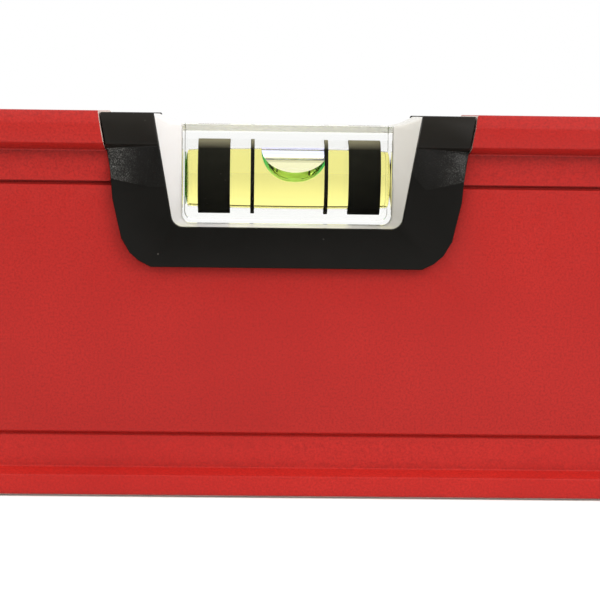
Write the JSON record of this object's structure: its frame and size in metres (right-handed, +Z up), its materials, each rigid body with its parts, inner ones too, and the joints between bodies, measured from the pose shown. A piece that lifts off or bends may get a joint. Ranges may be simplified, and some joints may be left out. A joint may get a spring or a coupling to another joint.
{
  "type": "spirit level",
  "caption": "Box-beam spirit level: hollow red aluminium beam with recessed panels, a centre vial notched into the top, plumb vials in the web and rubber end caps.",
  "frame": {"origin": "centre of the base, on the surface that the level stands on", "axes": "+X along the beam to the right, +Y from the front to the back, +Z up"},
  "size_m": [0.6, 0.028, 0.06],
  "materials": {
    "red_coat": "satin",
    "black_plastic": "satin",
    "white_plastic": "satin",
    "clear_acrylic": "polished",
    "vial_liquid": "polished",
    "vial_air": "polished",
    "black_ink": "matte",
    "black_rubber": "matte",
    "grey_plastic": "matte"
  },
  "bodies": {
    "level": {"beam": "red_coat", "center_front_bezel": "black_plastic", "center_back_bezel": "black_plastic", "center_liner": "white_plastic", "center_vial_block": "clear_acrylic", "center_vial_plug": "clear_acrylic", "center_liquid": "vial_liquid", "center_band_left": "black_ink", "center_line_left": "black_ink", "center_band_right": "black_ink", "center_line_right": "black_ink", "left_plumb_front_bezel": "black_plastic", "left_plumb_back_bezel": "black_plastic", "left_plumb_liner": "white_plastic", "left_plumb_vial_block": "clear_acrylic", "left_plumb_vial_plug": "clear_acrylic", "left_plumb_liquid": "vial_liquid", "left_plumb_band_lower": "black_ink", "left_plumb_line_lower": "black_ink", "left_plumb_band_upper": "black_ink", "left_plumb_line_upper": "black_ink", "right_plumb_front_bezel": "black_plastic", "right_plumb_back_bezel": "black_plastic", "right_plumb_liner": "white_plastic", "right_plumb_vial_block": "clear_acrylic", "right_plumb_vial_plug": "clear_acrylic", "right_plumb_liquid": "vial_liquid", "right_plumb_band_lower": "black_ink", "right_plumb_line_lower": "black_ink", "right_plumb_band_upper": "black_ink", "right_plumb_line_upper": "black_ink"},
    "center_bubble": {"center_bubble": "vial_air"},
    "left_plumb_bubble": {"left_plumb_bubble": "vial_air"},
    "right_plumb_bubble": {"right_plumb_bubble": "vial_air"},
    "left_end_cap": {"left_end_cap_rubber": "black_rubber", "left_end_cap_insert": "grey_plastic"},
    "right_end_cap": {"right_end_cap_rubber": "black_rubber", "right_end_cap_insert": "grey_plastic"}
  },
  "joints": [
    {"name": "center_bubble_slide", "type": "slide", "parent": "level", "child": "center_bubble", "axis": [1, 0, 0], "range_m": [-0.0108, 0.0088], "stiffness_N_per_m": 0.5, "deforming": ["center_liquid"]},
    {"name": "left_plumb_bubble_slide", "type": "slide", "parent": "level", "child": "left_plumb_bubble", "axis": [0, 0, 1], "range_m": [-0.0214, 0], "stiffness_N_per_m": 2, "springref_m": 0.01, "deforming": ["left_plumb_liquid"]},
    {"name": "right_plumb_bubble_slide", "type": "slide", "parent": "level", "child": "right_plumb_bubble", "axis": [0, 0, 1], "range_m": [-0.0214, 0], "stiffness_N_per_m": 2, "springref_m": 0.01, "deforming": ["right_plumb_liquid"]},
    {"name": "left_end_cap_pull", "type": "slide", "parent": "level", "child": "left_end_cap", "axis": [-1, 0, 0], "range_m": [0, 0.03]},
    {"name": "right_end_cap_pull", "type": "slide", "parent": "level", "child": "right_end_cap", "axis": [1, 0, 0], "range_m": [0, 0.03]}
  ]
}
